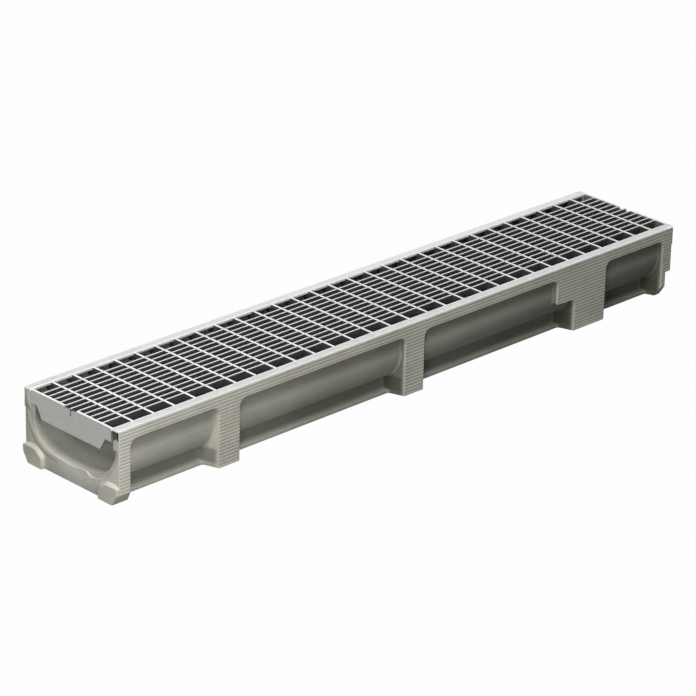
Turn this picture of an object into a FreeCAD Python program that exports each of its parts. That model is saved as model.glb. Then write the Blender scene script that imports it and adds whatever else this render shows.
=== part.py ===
import FreeCAD, Part
import os
import re
import Sketcher

# Drainage channel of nominal width 150: a cast trough on five pairs of legs, two steel edge
# rails cast into it and a mesh grating laid in. Millimetres, +X along the run towards the end
# with the tongue recesses, +Z up, origin under the middle of the base.

doc = FreeCAD.newDocument("channel_drain")

SIZES = {
    # the module
    "module_length": 1000,      # one channel with its joint, and the grating's length
    "joint_gap": 1.5,           # what the casting stands back at each end
    "channel_height": 100,      # base to the grating's top
    "over_cut": 3,              # how far a cut runs past the surface it opens
    # across the channel, from the grating's frame out to the outer face
    "frame_half_width": 75,     # centre line to the side of the grating's frame
    "frame_gap": 2,             # end plate and bar to the neck, each side
    "ledge_width": 7.3,         # neck to the edge rail
    "rail_thickness": 2.2,
    "rail_cover": 1.5,          # concrete outside the rail
    # ribbing of the outer faces
    "rib_pitch": 4.54,
    "rib_cut": 2.0,             # width of one groove at the surface
    "rib_depth": 0.8,
    "rib_first": 3.6,           # concrete top to the first groove
    "rib_count": 21,
    # water way
    "floor_height": 23.5,       # base to the lowest line of the floor
    "floor_radius": 220,
    "wall_radius": 45,
    "wall_rise": 0.822,         # upright part of the wall, from its arc to the step at the neck
    "bore_step": 1.2,           # how far the bore stands back behind the neck
    "ledge_drop": 16,           # the grating's top to its seat at the neck
    "ledge_rise": 4.4,          # the seat climbs this much on its way out to the rail
    "rail_depth": 12,           # how deep the rail reaches under the edge strip
    # trough between the legs
    "band_drop": 17,            # the grating's top to the underside of the top band
    "trough_wall": 5.3,         # bore to the trough's skin, under the band
    "skin_lean": 2.5,           # how far the skin comes in down to its bend
    "skin_bend_height": 56,
    "skin_radius": 50,
    "skin_foot_height": 25,
    "base_inset": 22,           # outer face to the base's edge and the foot of the skin
    "base_edge": 5.5,
    "pedestal_inset": 9,        # base's edge to the pedestal
    "pedestal_height": 23,
    # legs and the pockets between them
    "leg_splay": 0.35,          # leg flank, sideways per unit of depth
    "band_splay": 0.12,         # underside of the band, downwards per unit of depth
    "pocket_depth": 33,         # outer face to the end of a pocket
    "pocket_corner": 11,
    "pocket_root_corner": 5,
    "end_leg_width": 18,
    "leg_two_start": 160.3,     # from the near end of the casting
    "leg_two_width": 34.6,
    "leg_three_width": 34.8,    # in the middle of the casting
    "leg_four_end": 134,        # to the far end of the casting
    "leg_four_width": 95.5,
    "notch_width": 34.6,        # cut under the near side of leg four
    "notch_height": 46,
    "notch_corner": 9,
    "notch_nose": 4,
    "corner_cut_width": 9,      # lower outer edge of the end legs
    "corner_cut_height": 14,
    "corner_cut_length": 45,
    # feet on the near end and the recess for them in the far end
    "foot_depth": 5,
    "foot_width": 35,           # outer face to the foot's inner side
    "foot_height": 25,
    "foot_shoulder_height": 24,
    "foot_inner_height": 15,
    "recess_depth": 10,
    "recess_height": 34.5,
    "recess_gap": 2,            # room round a foot
    # groove and tongue round half of each mouth
    "ring_width": 6.5,
    "ring_end_half": 30,
    "groove_depth": 3,
    "tongue_length": 2,
    # grating
    "plate_thickness": 3,       # bearing bars and end plates
    "bay_count": 30,            # spaces between bearing bars
    "shoulder_drop": 18,        # the grating's top to the end plate's shoulder
    "shoulder_inset": 11,
    "belly_drop": 34.5,         # the grating's top to its lowest edge
    "belly_inset": 20.5,
    "seat_reach": 0.3,          # bar end to the rail's inner face
    "bar_pitch": 11.18,
    "bar_thickness": 2,
    "bar_depth": 10,
    "side_bars": 5,             # lengthwise bars each side of the middle one
    "notch_half": 11,           # middle of the end plate's top
    "notch_depth": 3,
    "strip_thickness": 2,
    "strip_cover": 0.5,         # how far the strip runs past the rail
    "lip_depth": 3.4,
    "lip_thickness": 2,
}

# lengths worked out from the sizes
WORKED = {
    "body_end": "module_length / 2 - joint_gap",
    "concrete_top": "channel_height - strip_thickness",
    "neck_half_width": "frame_half_width + frame_gap",
    "rail_half_width": "neck_half_width + ledge_width",
    "rail_outer": "rail_half_width + rail_thickness",
    "half_width": "rail_outer + rail_cover",
    "strip_half_width": "rail_outer + strip_cover",
    "ledge_height": "channel_height - ledge_drop",
    "ledge_slope": "ledge_rise / ledge_width",
    "bore_half_width": "neck_half_width + bore_step",
    "arc_shift": "bore_half_width - wall_radius",
    "arc_drop": "sqrt((floor_radius - wall_radius) ^ 2 - arc_shift ^ 2)",
    "bore_top": "floor_height + floor_radius - arc_drop",
    "arc_meet": "floor_radius * arc_shift / (floor_radius - wall_radius)",
    "arc_meet_height": "floor_height + floor_radius * (1 - arc_drop / (floor_radius - wall_radius))",
    "neck_height": "bore_top + wall_rise",
    "band_height": "channel_height - band_drop",
    "skin_top_half": "bore_half_width + trough_wall",
    "skin_bend_half": "skin_top_half - skin_lean",
    "base_half_width": "half_width - base_inset",
    "pedestal_half": "base_half_width - pedestal_inset",
    "pocket_root_half": "half_width - pocket_depth",
    "foot_inner_half": "half_width - foot_width",
    "foot_slant": "(base_half_width - foot_inner_half) / (foot_shoulder_height - foot_inner_height)",
    "shoulder_height": "channel_height - shoulder_drop",
    "shoulder_half": "frame_half_width - shoulder_inset",
    "belly_height": "channel_height - belly_drop",
    "belly_half": "frame_half_width - belly_inset",
}

sheet = doc.addObject("Spreadsheet::Sheet", "sizes")
for row, (name, value) in enumerate(SIZES.items(), 1):
    sheet.set("A%d" % row, name)
    sheet.set("B%d" % row, str(value))
    sheet.setAlias("B%d" % row, name)
doc.recompute()


def bound(text):
    """The expression down to the sizes, with each size's name led to the sheet."""
    def lead(match):
        name = match.group()
        if name in WORKED:
            return "(%s)" % bound(WORKED[name])
        return "sizes." + name if name in SIZES else name
    return re.sub(r"[a-z_]+", lead, text)


def number(text):
    return float(sheet.evalExpression(re.sub("sizes[.]", "", bound(text))))


def draw(sketch, path):
    """Closed outline. Each stop is (x, y), or (x, y, radius, turn) where an arc leads to it
    that turns left (1) or right (-1); x, y and radius are expressions."""
    spots = [FreeCAD.Vector(number(stop[0]), number(stop[1]), 0) for stop in path]
    ends = []
    for i, stop in enumerate(path):
        start, end = spots[i - 1], spots[i]
        if len(stop) == 2:
            edge = sketch.addGeometry(Part.LineSegment(start, end), False)
            ends.append((edge, 1, 2))
            continue
        radius, turn = number(stop[2]), stop[3]
        chord = end - start
        rise = (radius ** 2 - (chord.Length / 2) ** 2) ** 0.5
        across = FreeCAD.Vector(-chord.y, chord.x, 0).normalize() * turn
        centre = start + chord / 2 + across * rise
        middle = centre - across * radius
        edge = sketch.addGeometry(Part.Arc(start, middle, end), False)
        ends.append((edge, 1, 2) if turn > 0 else (edge, 2, 1))
        tie(sketch, "Radius", (edge,), stop[2])
    for i, (edge, first, last) in enumerate(ends):
        after = ends[(i + 1) % len(ends)]
        sketch.addConstraint(Sketcher.Constraint("Coincident", edge, last, after[0], after[1]))
        tie(sketch, "DistanceX", (-1, 1, edge, last), path[i][0])
        tie(sketch, "DistanceY", (-1, 1, edge, last), path[i][1])


def tie(sketch, kind, parts, text):
    index = sketch.addConstraint(Sketcher.Constraint(kind, *parts, number(text)))
    sketch.setExpression("Constraints[%d]" % index, bound(text))


def rounded(corners):
    """Path for draw() through right-angled corners (x, y, radius or None)."""
    path = []
    for i, (x, y, radius) in enumerate(corners):
        if radius is None:
            path.append((x, y))
            continue
        (ax, ay), (bx, by), (cx, cy) = [
            (number(p[0]), number(p[1]))
            for p in (corners[i - 1], corners[i], corners[(i + 1) % len(corners)])
        ]
        turn = 1 if (bx - ax) * (cy - by) - (by - ay) * (cx - bx) > 0 else -1
        path.append((step(x, ax - bx, radius), step(y, ay - by, radius)))
        path.append((step(x, cx - bx, radius), step(y, cy - by, radius), radius, turn))
    return path


def step(text, way, radius):
    """The expression moved by the radius towards way, or left alone where way is nothing."""
    if abs(way) < 1e-6:
        return text
    return "%s %s %s" % (text, "+" if way > 0 else "-", radius)


def mirrored(half):
    """Full path from its half at +Y: the same stops backwards at -Y, arcs with their legs."""
    path = list(half)
    for i in range(len(half) - 1, -1, -1):
        y, z = half[i][:2]
        arc = half[i + 1][2:] if i + 1 < len(half) and len(half[i + 1]) == 4 else ()
        if y != "0":
            path.append(("-(%s)" % y, z) + arc)
    return path


def plane(body, role):
    return [item for item in body.Origin.OriginFeatures if item.Role == role][0]


def section(body, name, path, at="0", role="YZ_Plane"):
    """Sketch on one of the body's own planes, moved along the plane's normal."""
    sketch = body.newObject("Sketcher::SketchObject", name)
    sketch.AttachmentSupport = [(plane(body, role), "")]
    sketch.MapMode = "FlatFace"
    sketch.setExpression("AttachmentOffset.Base.z", bound(at))
    draw(sketch, path)
    return sketch


def feature(body, kind, name, sketch, length, side="One side", back=False):
    made = body.newObject("PartDesign::" + kind, name)
    made.Profile = sketch
    made.SideType = side
    made.Reversed = back
    made.setExpression("Length", bound(length))
    return made


# ---------------------------------------------------------------- cast channel
def pocket_outline(start, end, depth, notched):
    """Space between two legs at a depth from the outer face; x along the run, open below."""
    flank, roof = "leg_splay * %s" % depth, "band_height - band_splay * %s" % depth
    corner = "pocket_corner" if depth == "0" else "pocket_root_corner"
    left, right = "%s + %s" % (start, flank), "%s - %s" % (end, flank)
    below = "-over_cut"
    corners = [(left, below, None), (left, roof, corner), (right, roof, corner)]
    if notched:
        shelf = "notch_height - band_splay * %s" % depth
        wide = "%s + notch_width - %s" % (end, flank)
        nose, inner = ("notch_nose", "notch_corner") if depth == "0" else ("notch_nose", "pocket_root_corner")
        corners += [(right, shelf, nose), (wide, shelf, inner), (wide, below, None)]
    else:
        corners += [(right, below, None)]
    return rounded(corners)


def channel_body():
    body = doc.addObject("PartDesign::Body", "channel_body")
    reach = "2 * body_end"

    outside = [("half_width", "0"), ("half_width", "concrete_top")]
    block = section(body, "block_outline", mirrored(outside))
    feature(body, "Pad", "block", block, reach, "Symmetric")

    # ribbing: a three-cornered groove down both faces, repeated towards the base
    first = "concrete_top - rib_first"
    for side, sign in (("left", "-"), ("right", "")):
        cut = section(body, "rib_outline_" + side, [
            (sign + "(half_width + rib_depth)", first + " + rib_cut"),
            (sign + "(half_width - rib_depth)", first),
            (sign + "(half_width + rib_depth)", first + " - rib_cut"),
        ])
        groove = feature(body, "Pocket", "rib_" + side, cut, reach, "Symmetric")
        ribs = body.newObject("PartDesign::LinearPattern", "ribbing_" + side)
        ribs.Originals = [groove]
        ribs.Direction = (plane(body, "Z_Axis"), [""])
        ribs.Reversed = True
        ribs.Mode = "Spacing"
        ribs.setExpression("Offset", bound("rib_pitch"))
        ribs.setExpression("Occurrences", bound("rib_count"))
        body.Tip = ribs

    # pockets between the legs, narrowing inwards, on both sides
    edges = [
        ("-body_end + end_leg_width", "-body_end + leg_two_start", False),
        ("-body_end + leg_two_start + leg_two_width", "-leg_three_width / 2", False),
        ("leg_three_width / 2", "body_end - leg_four_end - leg_four_width", True),
        ("body_end - leg_four_end", "body_end - end_leg_width", False),
    ]
    lofts = []
    for i, (start, end, notched) in enumerate(edges, 1):
        depth = "pocket_depth"
        mouth = section(body, "pocket_mouth_%d" % i, pocket_outline(start, end, "0", notched),
                        "half_width", "XZ_Plane")
        root = section(body, "pocket_root_%d" % i, pocket_outline(start, end, depth, notched),
                       "pocket_root_half", "XZ_Plane")
        loft = body.newObject("PartDesign::SubtractiveLoft", "pocket_%d" % i)
        loft.Profile = mouth
        loft.Sections = [root]
        loft.Ruled = True
        lofts.append(loft)
        body.Tip = loft
    other = body.newObject("PartDesign::Mirrored", "pockets_far_side")
    other.Originals = lofts
    other.MirrorPlane = (plane(body, "XZ_Plane"), [""])
    body.Tip = other

    # trough wall, pedestal and base between the legs
    trough = [
        ("skin_top_half", "band_height + over_cut"),
        ("skin_top_half", "band_height"),
        ("skin_bend_half", "skin_bend_height"),
        ("base_half_width", "skin_foot_height", "skin_radius", -1),
        ("pedestal_half", "pedestal_height"),
        ("pedestal_half", "base_edge + pedestal_inset"),
        ("base_half_width", "base_edge", "pedestal_inset", 1),
        ("base_half_width", "0"),
    ]
    shell = section(body, "trough_outline", mirrored(trough))
    feature(body, "Pad", "trough", shell, reach, "Symmetric")

    # lower outer edge of the end legs
    for end, place in (("near", "-body_end"), ("far", "body_end")):
        for side, sign in (("left", "-"), ("right", "")):
            edge = "half_width - corner_cut_width"
            cut = section(body, "corner_outline_%s_%s" % (end, side), [
                (sign + "half_width", "corner_cut_height"),
                (sign + "(%s)" % edge, "0"),
                (sign + "(%s)" % edge, "-over_cut"),
                (sign + "(half_width + over_cut)", "-over_cut"),
                (sign + "(half_width + over_cut)", "corner_cut_height"),
            ], place)
            feature(body, "Pocket", "corner_%s_%s" % (end, side), cut, "corner_cut_length",
                    back=end == "near")

    # feet standing out of the near end, and the room for the next channel's feet
    for side, sign in (("left", "-"), ("right", "")):
        foot = section(body, "foot_outline_" + side, [
            (sign + "half_width", "foot_height"),
            (sign + "base_half_width", "foot_shoulder_height"),
            (sign + "foot_inner_half", "foot_inner_height"),
            (sign + "foot_inner_half", "0"),
            (sign + "(half_width - corner_cut_width)", "0"),
            (sign + "half_width", "corner_cut_height"),
        ], "-body_end")
        feature(body, "Pad", "foot_" + side, foot, "foot_depth", back=True)
        inner = "foot_inner_half - recess_gap"
        room = section(body, "recess_outline_" + side, [
            (sign + "(half_width + over_cut)", "recess_height"),
            (sign + "(%s + (recess_height - foot_inner_height) * foot_slant)" % inner, "recess_height"),
            (sign + "(%s)" % inner, "foot_inner_height"),
            (sign + "(%s)" % inner, "-over_cut"),
            (sign + "(half_width + over_cut)", "-over_cut"),
        ], "body_end")
        feature(body, "Pocket", "recess_" + side, room, "recess_depth")

    # water way, ledge for the grating and slot for the rail
    bore = [
        ("rail_outer", "concrete_top + over_cut"),
        ("rail_outer", "concrete_top - rail_depth"),
        ("rail_half_width", "concrete_top - rail_depth"),
        ("rail_half_width", "ledge_height + ledge_rise"),
        ("neck_half_width", "ledge_height"),
        ("neck_half_width", "neck_height"),
        ("bore_half_width", "neck_height"),
        ("bore_half_width", "bore_top"),
        ("arc_meet", "arc_meet_height", "wall_radius", -1),
        ("0", "floor_height", "floor_radius", -1),
    ]
    water = section(body, "bore_outline", mirrored(bore))
    feature(body, "Pocket", "bore", water, reach, "Symmetric")

    # groove round one half of each mouth, tongue round the other, so that channels mate
    for end, place, sign in (("near", "-body_end", "-"), ("far", "body_end", "")):
        other_sign = "" if sign else "-"
        cut = section(body, "groove_outline_" + end, ring_outline(sign), place)
        feature(body, "Pocket", "groove_" + end, cut, "groove_depth", back=end == "near")
        lip = section(body, "tongue_outline_" + end, ring_outline(other_sign), place)
        feature(body, "Pad", "tongue_" + end, lip, "tongue_length", back=end == "near")
    body.Label = "channel_body"
    return body


def ring_outline(sign):
    """Band just outside the bore, from the top of its wall arc down to the floor."""
    outer = "(bore_half_width + ring_width)"
    low = "(bore_top - sqrt((wall_radius + ring_width) ^ 2 - (ring_end_half - arc_shift) ^ 2))"
    floor = "(floor_height + floor_radius - sqrt(floor_radius ^ 2 - ring_end_half ^ 2))"
    turn = -1 if sign == "" else 1
    return [
        (sign + outer, "bore_top"),
        (sign + "ring_end_half", low, "wall_radius + ring_width", turn),
        (sign + "ring_end_half", floor),
        (sign + "arc_meet", "arc_meet_height", "floor_radius", -turn),
        (sign + "bore_half_width", "bore_top", "wall_radius", -turn),
    ]


# ---------------------------------------------------------------- steel pieces
def upright(name, path):
    """Outline across the run, standing on its own, for pieces pushed along X."""
    sketch = doc.addObject("Sketcher::SketchObject", name)
    turned = FreeCAD.Rotation(FreeCAD.Vector(0, 1, 0), FreeCAD.Vector(0, 0, 1), FreeCAD.Vector(1, 0, 0))
    sketch.Placement = FreeCAD.Placement(FreeCAD.Vector(), turned)
    draw(sketch, path)
    return sketch


def pushed(label, outline, length, x="0", y="0"):
    """Solid of the outline, centred on x and moved across to y."""
    piece = doc.addObject("Part::Extrusion", label)
    piece.Base = outline
    piece.DirMode = "Normal"
    piece.Solid = True
    piece.Symmetric = True
    piece.setExpression("LengthFwd", bound(length))
    piece.setExpression("Placement.Base.x", bound(x))
    piece.setExpression("Placement.Base.y", bound(y))
    piece.Label = label
    return piece


def edge_rail(side, sign):
    rail = doc.addObject("Part::Box", "edge_rail_" + side)
    rail.setExpression("Length", bound("2 * body_end"))
    rail.setExpression("Width", bound("rail_thickness"))
    rail.setExpression("Height", bound("rail_depth"))
    near_face = "rail_half_width" if sign > 0 else "-rail_outer"
    rail.setExpression("Placement.Base.x", bound("-body_end"))
    rail.setExpression("Placement.Base.y", bound(near_face))
    rail.setExpression("Placement.Base.z", bound("concrete_top - rail_depth"))
    rail.Label = "edge_rail_" + side
    return rail


def edge_strip(side, sign):
    """Angle along the grating's edge: a flat top and a short lip turned down beside the bars."""
    under_lip = "channel_height - lip_depth"
    outline = upright("strip_outline_" + side, [
        (sign + "frame_half_width", "channel_height"),
        (sign + "frame_half_width", under_lip),
        (sign + "(frame_half_width + lip_thickness)", under_lip),
        (sign + "(frame_half_width + lip_thickness)", "concrete_top"),
        (sign + "strip_half_width", "concrete_top"),
        (sign + "strip_half_width", "channel_height"),
    ])
    return pushed("edge_strip_" + side, outline, "module_length")


def slot(centre):
    """Stops of one slot for a lengthwise bar, in a top edge followed towards +Y."""
    left, right = "%s - bar_thickness / 2" % centre, "%s + bar_thickness / 2" % centre
    bottom = "channel_height - bar_depth"
    return [(left, "channel_height"), (left, bottom), (right, bottom), (right, "channel_height")]


def bearing_bars():
    """Deep bars across the channel. Their ends lie on the ledges and carry the strips."""
    last = round(SIZES["side_bars"])
    top = []
    for i in range(-last, last + 1):
        top += slot("%d * bar_pitch" % i)
    tip = "(rail_half_width - seat_reach)"
    seat = "ledge_height + (%s - neck_half_width) * ledge_slope"
    half = [
        ("frame_half_width", "channel_height"),
        ("frame_half_width", "channel_height - lip_depth"),
        ("frame_half_width + lip_thickness", "channel_height - lip_depth"),
        ("frame_half_width + lip_thickness", "concrete_top"),
        (tip, "concrete_top"),
        (tip, seat % tip),
        ("frame_half_width", seat % "frame_half_width"),
        ("frame_half_width", "shoulder_height"),
        ("shoulder_half", "shoulder_height"),
        ("belly_half", "belly_height"),
    ]
    outline = upright("bearing_bar_outline", top + mirrored(half))
    count = round(SIZES["bay_count"])
    return [
        pushed("bearing_bar_%02d" % i, outline, "plate_thickness",
               "module_length * (%d / %d - 1 / 2)" % (i, count))
        for i in range(1, count)
    ]


def end_plates():
    """Plate closing each end of the grating, notched in the middle round the middle bar."""
    sunk = "channel_height - notch_depth"
    middle = slot("0")
    top = [("-notch_half", "channel_height"), ("-notch_half", sunk), (middle[0][0], sunk)]
    top += middle[1:3] + [(middle[3][0], sunk), ("notch_half", sunk), ("notch_half", "channel_height")]
    half = [
        ("frame_half_width", "channel_height"),
        ("frame_half_width", "shoulder_height"),
        ("shoulder_half", "shoulder_height"),
        ("belly_half", "belly_height"),
    ]
    outline = upright("end_plate_outline", top + mirrored(half))
    place = "(module_length - plate_thickness) / 2"
    return [
        pushed("end_plate_near", outline, "plate_thickness", "-" + place),
        pushed("end_plate_far", outline, "plate_thickness", place),
    ]


def lengthwise_bars():
    """Shallow bars along the channel. All but the middle one stop at the end plates."""
    half = [("bar_thickness / 2", "channel_height"), ("bar_thickness / 2", "channel_height - bar_depth")]
    outline = upright("lengthwise_bar_outline", mirrored(half))
    last = round(SIZES["side_bars"])
    bars = []
    for i in range(-last, last + 1):
        length = "module_length" if i == 0 else "module_length - 2 * plate_thickness"
        bars.append(pushed("lengthwise_bar_%02d" % (i + last + 1), outline, length, "0", "%d * bar_pitch" % i))
    return bars


parts = [channel_body()]
for side, sign in (("left", 1), ("right", -1)):
    parts.append(edge_rail(side, sign))
    parts.append(edge_strip(side, "" if sign > 0 else "-"))
parts += end_plates() + bearing_bars() + lengthwise_bars()
doc.recompute()

# nothing failed, and every piece is one closed solid
for item in doc.Objects:
    if {"Invalid", "Error"} & set(item.State):
        raise RuntimeError("failed: " + item.Label)
os.makedirs("parts", exist_ok=True)
for piece in parts:
    if piece.Shape.isNull() or not piece.Shape.isValid() or len(piece.Shape.Solids) != 1:
        raise RuntimeError("not one valid solid: " + piece.Label)
for piece in parts:
    piece.Shape.exportStep("parts/%s.step" % piece.Label)
    print(piece.Label, round(piece.Shape.Volume / 1000, 1), "cm3")
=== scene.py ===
import math

import bpy
import numpy as np
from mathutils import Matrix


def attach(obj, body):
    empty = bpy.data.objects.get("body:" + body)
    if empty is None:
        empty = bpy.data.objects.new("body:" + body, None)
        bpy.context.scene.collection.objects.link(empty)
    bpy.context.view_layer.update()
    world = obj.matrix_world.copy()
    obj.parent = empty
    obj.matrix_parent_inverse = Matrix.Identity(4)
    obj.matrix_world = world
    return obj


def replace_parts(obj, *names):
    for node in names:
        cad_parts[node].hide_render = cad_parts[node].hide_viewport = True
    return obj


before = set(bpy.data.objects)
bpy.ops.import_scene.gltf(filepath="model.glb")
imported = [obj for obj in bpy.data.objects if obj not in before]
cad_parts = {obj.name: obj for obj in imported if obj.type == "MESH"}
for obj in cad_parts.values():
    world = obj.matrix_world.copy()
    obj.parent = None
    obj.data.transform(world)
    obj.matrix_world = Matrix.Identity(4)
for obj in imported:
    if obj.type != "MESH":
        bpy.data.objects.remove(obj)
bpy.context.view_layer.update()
mm = 0.001


def meshPiece(name, points, faces, finish, sharp=35, marks=None):
    # points in mm, faces as lists of corner numbers; edges sharper than the angle stay crisp;
    # marks holds one number per point under each attribute's name
    mesh = bpy.data.meshes.new(name)
    mesh.from_pydata(np.asarray(points, float) * mm, [], faces)
    for key, values in (marks or {}).items():
        mesh.attributes.new(key, "FLOAT", "POINT").data.foreach_set("value", np.asarray(values, np.float32))
    mesh.validate()
    mesh.polygons.foreach_set("use_smooth", np.ones(len(mesh.polygons), bool))
    mesh.set_sharp_from_angle(angle=math.radians(sharp))
    mesh.materials.append(finish)
    piece = bpy.data.objects.new(name, mesh)
    bpy.context.scene.collection.objects.link(piece)
    return piece


def gridFaces(rows, columns, flip=False):
    # quads between neighbouring rows of a grid whose last column joins the first
    r = np.arange(rows - 1)[:, None]
    c = np.arange(columns)[None, :]
    d = (c + 1) % columns
    quads = np.stack([r * columns + c, r * columns + d, (r + 1) * columns + d, (r + 1) * columns + c], -1)
    quads = quads.reshape(-1, 4)
    return (quads[:, ::-1] if flip else quads).tolist()


def closedSweep(loops, flip=False):
    # loops is sections x stops x 3: each section is one closed loop, and both ends are capped
    sections, stops = loops.shape[:2]
    faces = gridFaces(sections, stops, flip=flip)
    start, end = list(range(stops)), list(range((sections - 1) * stops, sections * stops))
    faces += [start[::-1], end] if not flip else [start, end[::-1]]
    return loops.reshape(-1, 3), faces


def merged(parts):
    # several closed shells as one mesh
    points, faces, first = [], [], 0
    for somePoints, someFaces in parts:
        points.append(somePoints)
        faces += [[corner + first for corner in face] for face in someFaces]
        first += len(somePoints)
    return np.concatenate(points), faces


def smoothMax(a, b, width):
    # larger of the two, with a rounded inner corner of about this width where they cross
    share = np.clip(0.5 + 0.5 * (a - b) / np.maximum(width, 1e-6), 0, 1)
    return b + (a - b) * share + width * share * (1 - share)


def smoothStep(low, high, value):
    t = np.clip((value - low) / (high - low), 0, 1)
    return t * t * (3 - 2 * t)


def arcPoints(centre, radius, start, end, count):
    # points round a centre between two angles in degrees
    angle = np.radians(np.linspace(start, end, count))
    return np.stack([centre[0] + radius * np.cos(angle), centre[1] + radius * np.sin(angle)], -1)


class Wire:
    # a socket that takes Python's operators, each of which adds its Math node
    def __init__(self, finish, output):
        self.finish, self.output = finish, output

    def __add__(self, other): return self.finish.sum("ADD", self, other)
    def __sub__(self, other): return self.finish.sum("SUBTRACT", self, other)
    def __rsub__(self, other): return self.finish.sum("SUBTRACT", other, self)
    def __mul__(self, other): return self.finish.sum("MULTIPLY", self, other)

    def over(self, low, high):
        # 0 below low, 1 above high, eased between
        node = self.finish.node("ShaderNodeMapRange", {"interpolation_type": "SMOOTHSTEP"},
                                {"Value": self, "From Min": low, "From Max": high})
        return self.finish.wire(node, "Result")


class Finish:
    # a material or the world; all its nodes are made through one method
    def __init__(self, name, world=False):
        self.owner = (bpy.data.worlds if world else bpy.data.materials).new(name)
        self.owner.use_nodes = True
        self.tree = self.owner.node_tree
        self.tree.nodes.clear()
        self.place = None if world else self.wire(self.node("ShaderNodeTexCoord"), "Object")

    def node(self, kind, settings=None, sockets=None):
        made = self.tree.nodes.new(kind)
        for key, value in (settings or {}).items():
            setattr(made, key, value)
        for key, value in (sockets or {}).items():
            if isinstance(value, Wire):
                self.tree.links.new(value.output, made.inputs[key])
            else:
                made.inputs[key].default_value = value
        return made

    def wire(self, node, name=0):
        return Wire(self, node.outputs[name])

    def sum(self, operation, *values):
        return self.wire(self.node("ShaderNodeMath", {"operation": operation}, dict(enumerate(values))))

    def noise(self, scale, detail=2.0, rough=0.5, place=None):
        return self.wire(self.node("ShaderNodeTexNoise", None, {
            "Vector": place or self.place, "Scale": scale, "Detail": detail, "Roughness": rough}), "Fac")

    def cells(self, scale, output="Distance"):
        node = self.node("ShaderNodeTexVoronoi", None, {"Vector": self.place, "Scale": scale})
        return self.wire(node, output)

    def stretched(self, x, y, z):
        # the object's coordinates scaled along each axis
        return self.wire(self.node("ShaderNodeVectorMath", {"operation": "MULTIPLY"},
                                   {0: self.place, 1: (x, y, z)}), "Vector")

    def split(self, wire):
        node = self.node("ShaderNodeSeparateXYZ", None, {0: wire})
        return [self.wire(node, axis) for axis in "XYZ"]

    def blend(self, share, first, second):
        # colours as (r, g, b) or wires
        full = [value if isinstance(value, Wire) else (*value, 1) for value in (first, second)]
        node = self.node("ShaderNodeMix", {"data_type": "RGBA"}, {0: share, 6: full[0], 7: full[1]})
        return self.wire(node, 2)

    def bump(self, height, distance, strength=1.0):
        return self.wire(self.node("ShaderNodeBump", None, {
            "Height": height, "Distance": distance, "Strength": strength}), "Normal")

    def surface(self, sockets):
        shader = self.node("ShaderNodeBsdfPrincipled", None, sockets)
        self.node("ShaderNodeOutputMaterial", None, {"Surface": self.wire(shader, "BSDF")})
        return self.owner


castLook = {
    "body": (0.495, 0.486, 0.420),
    "pale": (0.575, 0.567, 0.500),
    "dark": (0.395, 0.386, 0.320),
    "sand": 650.0,              # grains per metre, roughly
    "roughness": 0.82,
}


def castConcrete():
    make = Finish("castConcrete")
    sand = make.noise(castLook["sand"], 3.0, 0.65)
    fleck = make.cells(castLook["sand"] * 0.8)
    cloud = make.noise(9.0, 4.0, 0.6)
    drift = make.noise(1.0, 3.0, 0.55, make.stretched(5.0, 30.0, 30.0))
    tone = make.blend(cloud.over(0.35, 0.65), castLook["dark"], castLook["body"])
    tone = make.blend(drift.over(0.42, 0.7) * 0.6, tone, castLook["pale"])
    tone = make.blend(sand.over(0.35, 0.7) * 0.45, tone, castLook["pale"])
    tone = make.blend((1 - fleck.over(0.1, 0.3)) * 0.35, tone, castLook["dark"])
    holes = 1 - make.cells(95.0).over(0.03, 0.09)
    holes = holes * make.noise(30.0, 1.0).over(0.52, 0.6)
    tone = make.blend(holes * 0.7, tone, (0.2, 0.19, 0.16))
    # painted shade: the hollows of the side and the trough are darkened towards near black by a per-point
    # attribute, standing in for the shade that falls in them
    shade = make.wire(make.node("ShaderNodeAttribute", {"attribute_name": "paintedShade"}), "Fac")
    tone = make.blend(shade, tone, (0.022, 0.023, 0.012))
    height = sand * 0.25 + fleck * 0.15 + cloud * 0.6 - holes * 0.9
    return make.surface({
        "Base Color": tone, "Roughness": sand * 0.12 + (castLook["roughness"] - 0.06),
        "Specular IOR Level": 0.12, "Normal": make.bump(height, 0.0004, 0.7)})


zincLook = {
    "flake": 130.0,             # zinc flakes per metre
    "strip": (0.78, 0.80, 0.795),
    "plate": (0.40, 0.405, 0.385),
    # painted highlight: the pale colour laid on tops and edges where the light catches them
    "paintedHighlight": (0.93, 0.93, 0.925),
    # painted shade: the bars are dark all over, standing in for the shade inside the grating's cells
    "barPaintedShade": (0.095, 0.098, 0.096),
    # painted shadow: the near rail is near black, standing in for the shade in the void beside the end plate
    "railNearShadowBlack": (0.006, 0.006, 0.006),
    "railFar": (0.30, 0.31, 0.30),
}


def zinc(name, body, roughness=0.42, metallic=0.85, edges=None, mottle=1.0, shine=0.5):
    # galvanised skin: flakes of slightly different grey, soft clouds and a fine grain;
    # edges(make) gives the share of each spot that takes the painted highlight colour
    make = Finish(name)
    flakes = make.split(make.cells(zincLook["flake"], output="Color"))
    cloud = make.noise(22.0, 3.0, 0.6)
    grain = make.noise(900.0, 2.0, 0.6)
    pale, dark = [tuple(min(v * (1 + k * mottle), 0.97) for v in body) for k in (0.16, -0.18)]
    tone = make.blend(flakes[0] * 0.3 + cloud * 0.4, dark, pale)
    if edges:
        highlight = edges(make)
        tone = make.blend(highlight, tone, zincLook["paintedHighlight"])
        metallic = (1 - highlight * 0.35) * metallic
    height = grain * 0.3 + (cloud * 1.2 + flakes[1] * 0.2) * mottle
    return make.surface({
        "Base Color": tone, "Metallic": metallic, "Specular IOR Level": shine,
        "Roughness": flakes[2] * 0.1 + grain * 0.08 + (roughness - 0.09),
        "Normal": make.bump(height, 0.0002, 0.5)})


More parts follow.
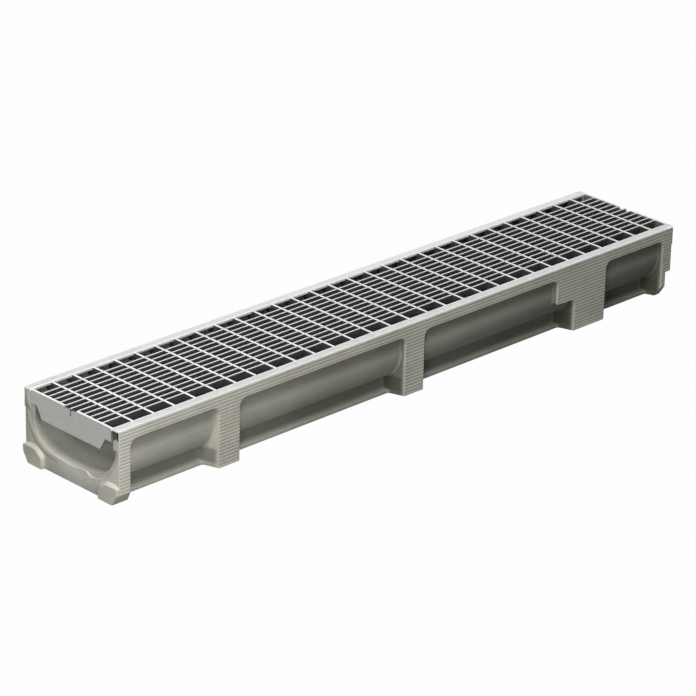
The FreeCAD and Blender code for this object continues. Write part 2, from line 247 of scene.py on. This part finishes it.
def litTopHighlight(make):
    # painted highlight: the last half millimetre under the grating's top is laid pale where the light catches
    # it
    return make.split(make.place)[2].over(0.0993, 0.0997)


def stripEdgeHighlights(make):
    # painted highlight: the folded and the cut edge of a strip are laid pale where the light catches them
    across = make.sum("ABSOLUTE", make.split(make.place)[1])
    return 1 - across.over(0.0762, 0.0776) + across.over(0.0860, 0.0868) * 0.8


def farStripSheenAndEdgeHighlights(make):
    # painted sheen: the left strip is laid paler along its run towards the far end, on top of the edges'
    # painted highlight
    x, y, _ = make.split(make.place)
    return stripEdgeHighlights(make) + x.over(-0.7, 0.4) * y.over(-0.01, 0.01) * 0.9


concrete = castConcrete()
stripZinc = zinc("stripZinc", zincLook["strip"], edges=farStripSheenAndEdgeHighlights)
steelFinish = {
    # painted shadow: the near rail's finish is near black and dull, for the shade in its slot
    "edge_rail_right": zinc("railNearPaintedShadow", zincLook["railNearShadowBlack"], 0.75, 0.0, shine=0.0),
    "edge_rail_left": zinc("railFarZinc", zincLook["railFar"], 0.6, 0.4, mottle=0.3),
    # painted highlight on the plate's and the bars' tops; the bars' dark colour is painted shade
    "end_plate": zinc("plateZinc", zincLook["plate"], 0.45, 0.8, litTopHighlight, 0.4),
    "bearing_bar": zinc("bearingZinc", zincLook["barPaintedShade"], 0.5, 0.6, litTopHighlight),
    "lengthwise_bar": zinc("barZinc", zincLook["barPaintedShade"], 0.5, 0.6, lambda make: litTopHighlight(make) * 0.8),
}
print("finishes made")


channel = {
    "end": 498.5, "half": 88.0, "top": 98.0,
    "edgeRound": 1.0, "topRound": 0.5, "blend": 6.0,
    "legSplay": 0.35, "bandSplay": 0.12, "pocketDepth": 33.0,
    "pocketCorner": 11.0, "rootCorner": 5.0, "bandUnder": 83.0,
    # each pocket's start and end along the run, and the end of the notch beyond it
    "pockets": [(-480.5, -338.2, None), (-303.6, -17.4, None), (17.4, 269.0, 303.6), (364.5, 480.5, None)],
    "notchTop": 46.0, "notchCorner": 9.0, "notchNose": 5.0,
    "ribs": 21, "ribPitch": 4.54, "ribFirst": 94.4, "ribDepth": 0.32, "ribHalf": 0.9,
    "ribStops": np.array([-0.9, -0.45, 0, 0.45, 0.9]),      # levels of the mesh across each groove
    "otherStops": [0, 0.3, 1, 4.4, 5.1, 6.6, 24, 25.4, 26.6, 97.5, 97.85, 98],
    "cornerCut": (9.0, 14.0, 45.0),
    "recess": (10.0, 34.5, 15.0, 51.0, 13.0 / 9.0),     # depth, top, bend height, bend, slant
    "bore": 78.2, "wallRadius": 45.0, "floorRadius": 220.0, "floor": 23.5,
    "neck": 77.0, "neckFoot": 72.5, "ledge": 84.0, "ledgeEnd": 88.4,
    "railInner": 84.3, "railOuter": 86.5, "railFoot": 86.0,
    "ringWidth": 6.5, "grooveDepth": 3.0,
    "even": (470.0, 41),        # reach and number of the even stations along the run
    "hair": 0.05,               # how close the stations lie on either side of a sharp step
}


def outlineDistance(x, z, depth, start, end, notchEnd):
    # signed distance to a pocket's outline at a depth below the outer face: a box with rounded
    # upper corners, open below, joined to the lower box of the notch by a rounded nose
    flank, roof = channel["legSplay"] * depth, channel["bandSplay"] * depth
    share = depth / channel["pocketDepth"]

    def box(left, right, high, corner):
        radius = corner + (channel["rootCorner"] - corner) * share
        dx = np.maximum(left + flank - x, x - right + flank) + radius
        dz = z - high + roof + radius
        return np.minimum(np.maximum(dx, dz), 0) + np.hypot(np.maximum(dx, 0), np.maximum(dz, 0)) - radius

    shape = box(start, end, channel["bandUnder"], channel["pocketCorner"])
    if notchEnd is not None:
        notch = box(end - 60, notchEnd, channel["notchTop"], channel["notchCorner"])
        shape = -smoothMax(-shape, -notch, channel["notchNose"])
    return shape


def pocketDepth(x, z):
    # the largest depth whose narrowed outline still holds each point, by halving the range,
    # and the distance outside the outline at the face
    deepest, outside = np.zeros(np.broadcast(x, z).shape), np.full(np.broadcast(x, z).shape, 99.0)
    for pocket in channel["pockets"]:
        low, high = np.zeros(deepest.shape), np.full(deepest.shape, channel["pocketDepth"])
        for _ in range(20):
            middle = (low + high) / 2
            inside = outlineDistance(x, z, middle, *pocket) < 0
            low, high = np.where(inside, middle, low), np.where(inside, high, middle)
        face = outlineDistance(x, z, 0.0, *pocket)
        deepest = np.where(face < 0, np.maximum(deepest, low), deepest)
        outside = np.minimum(outside, face)
    return deepest, outside


# outside of the trough between the legs, as stops (half width, height) from the top down, with
# an arc between the two groups
skin = {
    "upper": [(83.0, 110), (83.0, 84), (81.2, 76), (80.4, 67), (81.4, 58)],
    "arcStart": (81.3, 55.0), "arcEnd": (66.0, 25.0), "arcRadius": 50.0,
    "pedestal": [(57, 23), (57, 8.5), (57.8, 6.4), (60, 5.2), (65.4, 4.8), (66, 4.2), (66, -10)],
    "softening": 0.8, "step": 0.25,
}


def skinAt(z):
    # half width of the trough's outside: a hollow under the band, a soft ridge, an arc down to
    # the foot, then the recessed pedestal and the thin flange at the base, all a little softened
    t = skin
    start, end, radius = np.array(t["arcStart"]), np.array(t["arcEnd"]), t["arcRadius"]
    chord = end - start
    across = np.array([chord[1], -chord[0]]) / np.hypot(*chord)
    centre = (start + end) / 2 + across * math.sqrt(radius ** 2 - (chord @ chord) / 4)
    angles = [math.degrees(math.atan2(*(stop - centre)[::-1])) for stop in (start, end)]
    line = np.concatenate([t["upper"], arcPoints(centre, radius, *angles, 24), t["pedestal"]])
    level = np.arange(-8, 106, t["step"])
    half = np.interp(level, line[::-1, 1], line[::-1, 0])
    reach = int(5 * t["softening"] / t["step"])
    kernel = np.exp(-0.5 * (np.arange(-reach, reach + 1) * t["step"] / t["softening"]) ** 2)
    half = np.convolve(np.pad(half, reach, "edge"), kernel / kernel.sum(), "valid")
    return np.interp(z, level, half)


# painted shade: how much darker the concrete is painted in each zone of a pocket, for the shade
# in the hollows and the dimmer light towards the far end: the zone's two heights, then its shade
# by the near end and by the far one
paintedShade = {
    "zones": {
        "foot": (0, 5, 0.22, 0.52),
        "pedestal": (7, 22, 0.54, 0.67),
        "wall": (27, 50, 0.02, 0.55),
        "brow": (64, 80, 0.31, 0.55),
    },
    "run": (-400.0, 450.0),     # where it starts to grow along the run, and where it is full
    # painted shade on the pockets' flanks, growing along the run
    "flank": 0.62,              # what the pockets' flanks get on top
    "flankRun": (-330.0, 0.0),
    # painted shade in the trough, growing away from the mouths
    "bore": 0.34,
}


def paintedShadeAt(x, z):
    # share of painted shade in the skin at each place on the side: only inside the pockets
    t = paintedShade
    depth, _ = pocketDepth(x, z)
    along = smoothStep(*t["run"], x)
    zones = list(t["zones"].values())
    heights = [height for zone in zones for height in zone[:2]]
    near, far = [np.interp(z, heights, np.repeat([zone[k] for zone in zones], 2)) for k in (2, 3)]
    flank = smoothStep(0.5, 2, depth) * (1 - smoothStep(-3, 0, depth - channel["half"] + skinAt(z)))
    kept = 1 - smoothStep(0.5, 6, depth) * (near + (far - near) * along)
    return 1 - kept * (1 - t["flank"] * smoothStep(*t["flankRun"], x) * flank)


def ribAt(z):
    # depth of the fine grooves at a height
    level = np.mod(z - channel["ribFirst"] + channel["ribPitch"] / 2, channel["ribPitch"])
    away = np.abs(level - channel["ribPitch"] / 2)
    rib = channel["ribDepth"] * (1 - smoothStep(0, channel["ribHalf"], away))
    lowest = channel["ribFirst"] - (channel["ribs"] - 1) * channel["ribPitch"] - 2
    return rib * (z < channel["ribFirst"] + 2) * (z > lowest)


def endCut(z):
    # half width at the ends, where the lower corners are cut away
    width, height, _ = channel["cornerCut"]
    return channel["half"] - width * np.clip(1 - z / height, 0, 1) - ribAt(z) * 0.7


def outerHalf(x, z):
    # half width of the casting at each place on its side: the face, less its pockets, ribs,
    # end cuts and rounded edges, or the trough's skin where that stands further out
    depth, outside = pocketDepth(x, z)
    r = channel["edgeRound"]
    rounding = r - np.sqrt(np.maximum(r ** 2 - (r - np.clip(outside, 0, r)) ** 2, 0))
    face = channel["half"] - rounding - depth - ribAt(z) * (1 - smoothStep(0.2, 1.5, depth))
    half = smoothMax(face, skinAt(z) + 0 * x, channel["blend"] * smoothStep(1, 5, depth))
    half = np.minimum(half, channel["half"])
    half = np.where(np.abs(x) > channel["end"] - channel["cornerCut"][2], np.minimum(half, endCut(z)), half)
    deep, top, bend, inner, slant = channel["recess"]
    room = np.where(z < top, inner + np.maximum(z - bend, 0) * slant, 999)
    return np.where(x > channel["end"] - deep, np.minimum(half, room), half)


def boreLoop():
    # the inside from the face at +Y down to the middle of the floor, and the way out of the
    # concrete at each stop of its arcs
    c = channel
    shift = c["bore"] - c["wallRadius"]
    drop = math.sqrt((c["floorRadius"] - c["wallRadius"]) ** 2 - shift ** 2)
    high = c["floor"] + c["floorRadius"] - drop
    turn = -math.degrees(math.atan2(drop, shift))
    wall = arcPoints((shift, high), c["wallRadius"], 0, turn, 14)
    base = arcPoints((0, c["floor"] + c["floorRadius"]), c["floorRadius"], turn, -90, 9)[1:]
    head = np.array([
        (c["railOuter"], c["top"]), (c["railOuter"], c["railFoot"]), (c["railInner"], c["railFoot"]),
        (c["railInner"], c["ledgeEnd"]), (c["neck"], c["ledge"]), (c["neck"], c["neckFoot"]),
        (c["bore"], c["neckFoot"])])
    normal = np.concatenate([
        np.zeros((len(head), 2)), (wall - (shift, high)) / c["wallRadius"],
        (base - (0, c["floor"] + c["floorRadius"])) / c["floorRadius"]])
    return np.concatenate([head, wall, base]), normal


def channelPiece():
    c = channel
    end = c["end"]
    # stations along the run: close together over each flank, at the rounded ends and at the steps
    flank = np.array([-2, -1, -0.6, -0.25, 0, 0.5, 1.2, 2, 3, 4, 5.2, 6.5, 8, 9.5, 11, 12.5, 14.5, 17.5, 22])
    edges = [(start, 1) for start, _, _ in c["pockets"]] + [(stop, -1) for _, stop, _ in c["pockets"]]
    edges += [(stop, -1) for _, _, stop in c["pockets"] if stop]
    stations = [edge + way * flank for edge, way in edges]
    r, hair = c["edgeRound"], c["hair"]
    ends = np.array([0, 0.12, 0.45, r, c["grooveDepth"] - hair, c["grooveDepth"] + hair])
    deep = end - c["recess"][0]
    far, count = c["even"]
    stations += [ends - end, end - ends, [deep - hair, deep + hair], np.linspace(-far, far, count)]
    x = np.unique(np.round(np.concatenate(stations), 2))
    x = x[np.abs(x) <= end]
    x = x[np.concatenate([[True], np.diff(x) > 0.09])]
    # levels up the side: six to each groove, and the steps of the section
    ribs = c["ribFirst"] - np.arange(c["ribs"]) * c["ribPitch"]
    z = (ribs[:, None] + np.append(c["ribStops"], c["ribPitch"] / 2)).ravel()
    z = np.unique(np.round(np.concatenate([z, c["otherStops"]]), 3))[::-1]
    grid = outerHalf(x[:, None], z[None, :])
    inset = r - np.sqrt(np.maximum(r ** 2 - (r - np.clip(end - np.abs(x), 0, r)) ** 2, 0))
    # rounded top edge, rounded ends, and the underside lifted a little at the ends
    t = c["topRound"]
    shoulder = t - np.sqrt(np.maximum(t ** 2 - np.clip(z - c["top"] + t, 0, t) ** 2, 0))
    grid = grid - np.maximum(inset[:, None], shoulder[None, :])
    level = np.broadcast_to(z, grid.shape) + inset[:, None] * (z < 1)
    inner, normal = boreLoop()
    loops = []
    for side in (-1, 1):
        # the bore's stops on this side at every station, opened by the groove at one end
        grooved = x < -end + c["grooveDepth"] if side < 0 else x > end - c["grooveDepth"]
        reach = c["ringWidth"] * smoothStep(26, 34, inner[:, 0]) * (np.hypot(*normal.T) > 0)
        widened = np.where(grooved[:, None], reach[None, :], inset[:, None])
        y = inner[None, :, 0] + normal[None, :, 0] * widened
        h = inner[None, :, 1] + normal[None, :, 1] * widened
        loops.append((y * side, h, grid * side, level))
    (yl, hl, gl, vl), (yr, hr, gr, vr) = loops
    # one closed loop per station: down the outside at -Y, up at +Y, then through the bore
    y = np.concatenate([gl, gr[:, ::-1], yr, yl[:, -2::-1]], 1)
    h = np.concatenate([vl, vr[:, ::-1], hr, hl[:, -2::-1]], 1)
    points, faces = closedSweep(np.stack([np.broadcast_to(x[:, None], y.shape), y, h], -1))
    # painted shade per point: the pockets' zones on the sides, and the trough darkening away from the mouths
    side = paintedShadeAt(x[:, None], z[None, :])
    bore = np.broadcast_to(paintedShade["bore"] * smoothStep(1, 14, end - np.abs(x))[:, None], yr.shape)
    shade = np.concatenate([side, side[:, ::-1], bore, bore[:, -2::-1]], 1).ravel()
    shells = [(points, faces), tongue(-1), tongue(1), foot(-1), foot(1), gusset(-1), gusset(1),
              stopBlock(-1, 1), stopBlock(1, -1), stopBlock(1, 1, 2.0)]
    points, faces = merged(shells)
    # the pads, gussets and stop blocks take the trough's painted shade as well
    others = points[len(shade):, 0]
    shade = np.concatenate([shade, paintedShade["bore"] * smoothStep(1, 14, end - np.abs(others))])
    return meshPiece("castChannel", points, faces, concrete, marks={"paintedShade": shade})


def padLoops(levels, side):
    # sections of a pad: each level is (place along the run, outline of its corners)
    return np.array([np.stack([np.full(len(spot), place), side * spot[:, 0], spot[:, 1]], -1)
                     for place, spot in levels])


def drawnIn(outline, amount):
    # an outline pulled towards its middle by a length
    way = outline.mean(0) - outline
    return outline + way / np.hypot(*way.T)[:, None] * amount


# what stands on the channel's ends: outlines are (half width, height), levels are (how far out
# from the end face, then the shares or lengths named beside them)
ends = {
    "tongueAcross": (0.9, 0.9, 1.8, 3.2, 4.8, 6.6, 8.2, 9.2),
    "tongueRise": (-0.5, 0.02, 0.3, 0.6, 0.7, 0.45, 0.05, -0.5),
    "footDrafted": [(86, 24.9), (82, 24.8), (77, 24.6), (71, 24.3), (66, 23.6), (62.5, 21.5), (59, 19.2),
                    (55, 16.6), (53.2, 14), (53, 10), (53, 5), (53, 1)],
    "footSole": [(53.5, 0), (66, 0), (78.6, 0)],
    "footTop": 25.0, "footDraft": (-1.2, 2.6),
    # out, share of the draft, drawn in
    "footLevels": [(-0.6, 1, 0), (0.2, 1, 0), (1.5, 0.7, 0), (3.2, 0.3, 0.05), (4.6, 0, 0.2), (5.0, 0, 0.7)],
    "stopOutline": [(75.4, 74), (76, 73), (78, 72.6), (87.6, 72.6), (88, 73), (88, 90), (88, 97.4),
                    (87.6, 97.9), (80, 97.9), (77.6, 97.9), (77.3, 96.3), (75.4, 96.3)],
    "stopLevels": [(0.5, 0.3), (0.9, 0.45), (1.1, 0.9)],    # out, drawn in
    "gussetThick": 8.6, "gussetFoot": 36.0, "gussetHead": 78.0,
    "gussetUpper": (84, 79, 74), "gussetSunk": 0.3, "gussetBack": 2.5,
    # out, share of the thickness
    "gussetLevels": [(-24, 0), (-18, 0.1), (-12, 0.35), (-7, 0.65), (-3, 0.88), (-1.2, 0.96), (-0.5, 0.94),
                     (-0.2, 0.88)],
}


def tongue(way):
    # low soft ridge beside the mouth, along the bore's arcs from the wall to the floor
    c = channel
    inner, normal = boreLoop()
    keep = (np.hypot(*normal.T) > 0) & (inner[:, 0] > 22)
    path = np.concatenate([[[c["bore"], c["neckFoot"]]], inner[keep]])
    out = np.concatenate([[[1.0, 0.0]], normal[keep]])
    across, rise = np.array(ends["tongueAcross"]), np.array(ends["tongueRise"])
    fade = smoothStep(22, 45, path[:, 0]) * smoothStep(74, 60, path[:, 1])
    height = np.where(rise > 0, rise * fade[:, None], rise)
    spot = path[:, None, :] + out[:, None, :] * across[None, :, None]
    x = way * (c["end"] + height)
    loops = np.stack([np.broadcast_to(x, spot.shape[:2]), -way * spot[..., 0], spot[..., 1]], -1)
    return closedSweep(loops, flip=True)


def foot(side):
    # pad on the near end, with a draft down to the end face on its top and inner side, and the
    # side's ribs and corner cut carried on over its outer edge
    c = channel
    drafted = np.array(ends["footDrafted"], float)
    lowest = c["ribFirst"] - (c["ribs"] - 1) * c["ribPitch"]
    grooves = lowest + np.arange(5)[:, None] * c["ribPitch"] + c["ribStops"][None, :]
    level = np.unique(np.concatenate([np.linspace(0.4, ends["footTop"], 12), grooves.ravel()]))
    level = level[(level > 0.3) & (level < ends["footTop"])]
    edge = np.concatenate([ends["footSole"], np.stack([endCut(level), level], -1)])
    levels = []
    for out, share, drawn in ends["footLevels"]:
        spread = drafted + np.array(ends["footDraft"]) * share * smoothStep(88, 80, drafted[:, :1])
        spread[:, 1] = np.maximum(spread[:, 1], 0.5)
        levels.append((-c["end"] - out, drawnIn(np.concatenate([spread, edge]), drawn)))
    return closedSweep(padLoops(levels, side), flip=side < 0)


def stopBlock(way, side, depth=9.0):
    # closes the rail's slot and the ledge at one side of a mouth, beside the end plate
    outline = np.array(ends["stopOutline"], float)
    levels = [(way * (channel["end"] + out), drawnIn(outline, drawn))
              for out, drawn in [(-depth, 0.3)] + ends["stopLevels"]]
    return closedSweep(padLoops(levels, side), flip=way * side < 0)


def gusset(way):
    # fills the corner between the plate's lower edge and the mouth's wall, behind the plate, and
    # fades into the wall downwards and inwards
    c = channel
    inner, normal = boreLoop()
    wall = (np.hypot(*normal.T) > 0) & (inner[:, 1] > 30)
    path = np.concatenate([[(c["bore"], height) for height in ends["gussetUpper"]], inner[wall]])
    out = np.concatenate([[(1, 0)] * len(ends["gussetUpper"]), normal[wall]])
    sunk = ends["gussetSunk"]
    thick = ends["gussetThick"] * smoothStep(ends["gussetFoot"], ends["gussetHead"], path[:, 1]) + sunk
    back = (path + out * ends["gussetBack"])[::-1]
    levels = [(way * (c["end"] + place), np.concatenate([path - out * (thick * share - sunk)[:, None], back]))
              for place, share in ends["gussetLevels"]]
    return closedSweep(padLoops(levels, -way), flip=True)


cast = channelPiece()
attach(cast, "root")
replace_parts(cast, "channel_body")
print("cast channel made, faces:", len(cast.data.polygons))


strip = {
    "length": 500.0, "inner": 75.0, "outer": 87.0, "top": 100.0, "under": 98.0,
    "lipFoot": 96.6, "lipOuter": 77.0, "fold": 0.9, "edge": 0.35, "nook": 0.5, "lipRound": 0.2,
    "even": (475.0, 39),        # reach and number of the even stations along the run
    "bevel": 0.3, "tipDrawn": 0.25,     # length of each tip's bevel, and how far it is drawn in
}


def stripPiece(side, name):
    # an angle's section, folded round at the inner edge, carried along the run
    t = strip
    fold = arcPoints((t["inner"] + t["fold"], t["top"] - t["fold"]), t["fold"], 180, 90, 6)
    rim = arcPoints((t["outer"] - t["edge"], t["top"] - t["edge"]), t["edge"], 90, 0, 4)
    low = arcPoints((t["outer"] - t["edge"], t["under"] + t["edge"]), t["edge"], 0, -90, 4)
    nook = arcPoints((t["lipOuter"] + t["nook"], t["under"] - t["nook"]), t["nook"], 90, 180, 4)
    r = t["lipRound"]
    lip = [(t["lipOuter"], t["lipFoot"] + r), (t["lipOuter"] - r, t["lipFoot"]),
           (t["inner"] + r, t["lipFoot"]), (t["inner"], t["lipFoot"] + r)]
    section = np.concatenate([fold, rim, low, nook, lip])
    centre = section.mean(0)
    tip, shoulder = t["length"], t["length"] - t["bevel"]
    far, count = t["even"]
    x = np.concatenate([[-tip, -shoulder], np.linspace(-far, far, count), [shoulder, tip]])
    shrink = np.where(np.abs(x) > shoulder, t["tipDrawn"], 0.0)
    way = (centre - section) / np.hypot(*(centre - section).T)[:, None]
    spot = section[None] + way[None] * shrink[:, None, None]
    loops = np.stack([np.broadcast_to(x[:, None], spot.shape[:2]), side * spot[..., 0], spot[..., 1]], -1)
    piece = meshPiece(name, *closedSweep(loops, flip=side < 0), stripZinc)
    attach(piece, "root")
    return piece


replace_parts(stripPiece(1, "edgeStripLeft"), "edge_strip_left")
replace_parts(stripPiece(-1, "edgeStripRight"), "edge_strip_right")
print("edge strips made")


# the rails, plates and bars keep the frame's own solids
for name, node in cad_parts.items():
    for start, look in steelFinish.items():
        if name.startswith(start):
            node.data.materials.clear()
            node.data.materials.append(look)
print("steel finished")


studio = {
    "camera": (-2.93221, -2.93605, 1.86262),
    "turn": (66.202, -1.250, -44.077),
    "lens": 180.29,
    "sky": 0.085,               # light from all round
    "steelAir": 0.8,            # brightness of the air mirrored in the steel
    # place, size, power and aim of each lamp: a high key over the near end with two low fills,
    # one beyond the far end and one behind
    "lamps": {
        "keyLight": ((-1.01, -0.82, 2.23), 1.25, 50.0, (-0.45, -0.09, 0.05)),
        "fillLight": ((-0.90, -0.70, 0.40), 0.4, 3.9, (-0.45, -0.09, 0.05)),
        "endLight": ((-1.50, -0.25, 0.60), 0.7, 1.6, (-0.45, -0.09, 0.05)),
        "farLight": ((1.90, -0.25, 0.45), 0.6, 7.0, (0.5, 0.0, 0.05)),
        "backLight": ((-0.30, 2.20, 0.45), 1.2, 20.0, (0.0, 0.09, 0.05)),
    },
    "floorSeen": 0.985,          # share of the floor that shows plain white
    "floorTone": 0.14,
    "floorSide": 14000.0,
}


def lamp(name, place, size, power, target):
    light = bpy.data.lights.new(name, "AREA")
    light.shape, light.size, light.energy = "DISK", size, power
    holder = bpy.data.objects.new(name, light)
    holder.location = place
    direction = np.array(target) - np.array(place)
    yaw = math.atan2(direction[1], direction[0])
    pitch = math.acos(-direction[2] / np.linalg.norm(direction))
    holder.rotation_euler = (pitch, 0, yaw - math.pi / 2)
    holder.visible_camera = False
    bpy.context.scene.collection.objects.link(holder)


def makeStudio():
    scene = bpy.context.scene
    scene.view_settings.view_transform = "Standard"
    camera = bpy.data.cameras.new("camera")
    camera.lens, camera.sensor_width = studio["lens"], 36
    camera.clip_end = 60
    holder = bpy.data.objects.new("camera", camera)
    holder.location = studio["camera"]
    holder.rotation_euler = [math.radians(a) for a in studio["turn"]]
    scene.collection.objects.link(holder)
    scene.camera = holder
    for name, values in studio["lamps"].items():
        lamp(name, *values)

    # air: white where it is seen, a little less so in the steel, and dim as a light
    make = Finish("studioAir", world=True)
    scene.world = make.owner
    path = make.node("ShaderNodeLightPath")
    seen, glossy = make.wire(path, "Is Camera Ray"), make.wire(path, "Is Glossy Ray")
    mirrored = make.sum("MAXIMUM", seen, glossy)
    strength = mirrored * (studio["steelAir"] - studio["sky"]) + studio["sky"]
    strength = strength + seen * (1 - studio["steelAir"])
    air = make.node("ShaderNodeBackground", None, {"Color": (1, 1, 1, 1), "Strength": strength})
    make.node("ShaderNodeOutputWorld", None, {"Surface": make.wire(air)})

    # floor: pale, almost white to the camera, with the object's shadow still on it
    make = Finish("paleFloor")
    path = make.node("ShaderNodeLightPath")
    seen = make.sum("MAXIMUM", make.wire(path, "Is Camera Ray"), make.wire(path, "Is Glossy Ray"))
    first, second = [(studio["floorTone"] * share,) * 3 for share in (1.0, 0.97)]
    tone = make.blend(make.noise(60.0, 2.0), first, second)
    matt = make.node("ShaderNodeBsdfDiffuse", None, {"Color": tone})
    glow = make.node("ShaderNodeEmission", None, {"Color": (1, 1, 1, 1), "Strength": 1.0})
    both = make.node("ShaderNodeMixShader", None,
                     {0: seen * studio["floorSeen"], 1: make.wire(matt), 2: make.wire(glow)})
    make.node("ShaderNodeOutputMaterial", None, {"Surface": make.wire(both)})
    side = studio["floorSide"]
    floor = meshPiece("floor", [(-side, -side, 0), (side, -side, 0), (side, side, 0), (-side, side, 0)],
                      [[0, 1, 2, 3]], make.owner)


makeStudio()
print("studio made")
